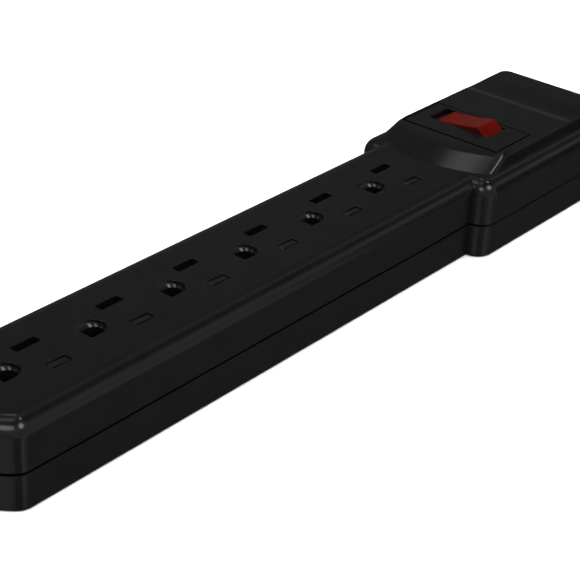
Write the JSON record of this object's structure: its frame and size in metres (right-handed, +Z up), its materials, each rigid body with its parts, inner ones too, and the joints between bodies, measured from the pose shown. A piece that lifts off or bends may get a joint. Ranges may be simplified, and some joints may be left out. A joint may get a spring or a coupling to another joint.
{
  "type": "power strip",
  "caption": "Black power strip with a wider head that holds a red rocker switch, grounded outlets in a row with flap shutters, a two-shell case and a surge board.",
  "frame": {"origin": "middle of the footprint, on the surface that the strip lies on", "axes": "+X along the strip towards the switch head, +Y towards the neutral slots, +Z up out of the outlet face"},
  "size_m": [0.291, 0.053, 0.0332],
  "materials": {
    "black_plastic": "satin moulded black ABS, fine texture",
    "black_insulator": "matt black moulded insulator",
    "grey_shutter": "satin charcoal moulded plastic",
    "red_lens": "glossy translucent red",
    "brass": "stamped brass",
    "steel": "zinc-plated steel",
    "glass": "clear lamp glass",
    "board_green": "green solder mask",
    "varistor_blue": "blue epoxy coating",
    "resistor_tan": "tan lacquer",
    "wire_black": "black PVC insulation",
    "wire_white": "white PVC insulation"
  },
  "bodies": {
    "housing": {"upper_housing": "black_plastic", "lower_housing": "black_plastic", "cord_inlet_bushing": "black_insulator", "line_bus_bar": "brass", "neutral_bus_bar": "brass", "ground_bus_bar": "brass", "switch_bezel": "black_plastic", "switch_body": "black_insulator", "switch_terminal_neutral": "brass", "switch_terminal_line": "brass", "switch_terminal_load": "brass", "breaker_bimetal": "steel", "line_link_wire": "wire_black", "neutral_link_wire": "wire_white", "surge_board": "board_green", "varistor_line_neutral": "varistor_blue", "varistor_line_ground": "varistor_blue", "varistor_neutral_ground": "varistor_blue", "thermal_fuse": "resistor_tan", "case_screw_1": "steel", "case_screw_2": "steel", "case_screw_3": "steel", "case_screw_4": "steel", "case_screw_5": "steel", "case_screw_6": "steel", "case_screw_7": "steel"},
    "rocker": {"rocker_button": "red_lens", "rocker_plunger": "black_insulator", "plunger_spring": "steel", "neon_lamp": "glass", "lamp_resistor": "resistor_tan"},
    "contact_lever": {"contact_lever": "brass"},
    "shutter_1": {"slot_shutter_1": "grey_shutter"},
    "shutter_2": {"slot_shutter_2": "grey_shutter"},
    "shutter_3": {"slot_shutter_3": "grey_shutter"},
    "shutter_4": {"slot_shutter_4": "grey_shutter"},
    "shutter_5": {"slot_shutter_5": "grey_shutter"},
    "shutter_6": {"slot_shutter_6": "grey_shutter"}
  },
  "joints": [
    {"name": "rocker_hinge", "type": "hinge", "parent": "housing", "child": "rocker", "pos_m": [0.088, 0.0026, 0.0276], "axis": [1, 0, 0], "range_deg": [0, 16]},
    {"name": "contact_lever_hinge", "type": "hinge", "parent": "housing", "child": "contact_lever", "pos_m": [0.088, 0.0026, 0.01585], "axis": [1, 0, 0], "range_deg": [-12, 0]},
    {"name": "shutter_1_hinge", "type": "hinge", "parent": "housing", "child": "shutter_1", "pos_m": [-0.1132, -0.00635, 0.02575], "axis": [0, 1, 0], "range_deg": [0, 66], "stiffness_Nm_per_rad": 0.00002, "springref_deg": -20.05},
    {"name": "shutter_2_hinge", "type": "hinge", "parent": "housing", "child": "shutter_2", "pos_m": [-0.0822, -0.00635, 0.02575], "axis": [0, 1, 0], "range_deg": [0, 66], "stiffness_Nm_per_rad": 0.00002, "springref_deg": -20.05},
    {"name": "shutter_3_hinge", "type": "hinge", "parent": "housing", "child": "shutter_3", "pos_m": [-0.0512, -0.00635, 0.02575], "axis": [0, 1, 0], "range_deg": [0, 66], "stiffness_Nm_per_rad": 0.00002, "springref_deg": -20.05},
    {"name": "shutter_4_hinge", "type": "hinge", "parent": "housing", "child": "shutter_4", "pos_m": [-0.0202, -0.00635, 0.02575], "axis": [0, 1, 0], "range_deg": [0, 66], "stiffness_Nm_per_rad": 0.00002, "springref_deg": -20.05},
    {"name": "shutter_5_hinge", "type": "hinge", "parent": "housing", "child": "shutter_5", "pos_m": [0.0108, -0.00635, 0.02575], "axis": [0, 1, 0], "range_deg": [0, 66], "stiffness_Nm_per_rad": 0.00002, "springref_deg": -20.05},
    {"name": "shutter_6_hinge", "type": "hinge", "parent": "housing", "child": "shutter_6", "pos_m": [0.0418, -0.00635, 0.02575], "axis": [0, 1, 0], "range_deg": [0, 66], "stiffness_Nm_per_rad": 0.00002, "springref_deg": -20.05}
  ],
  "couplings": [
    {"joint": "contact_lever_hinge", "follows": "rocker_hinge", "ratio": -0.75}
  ]
}
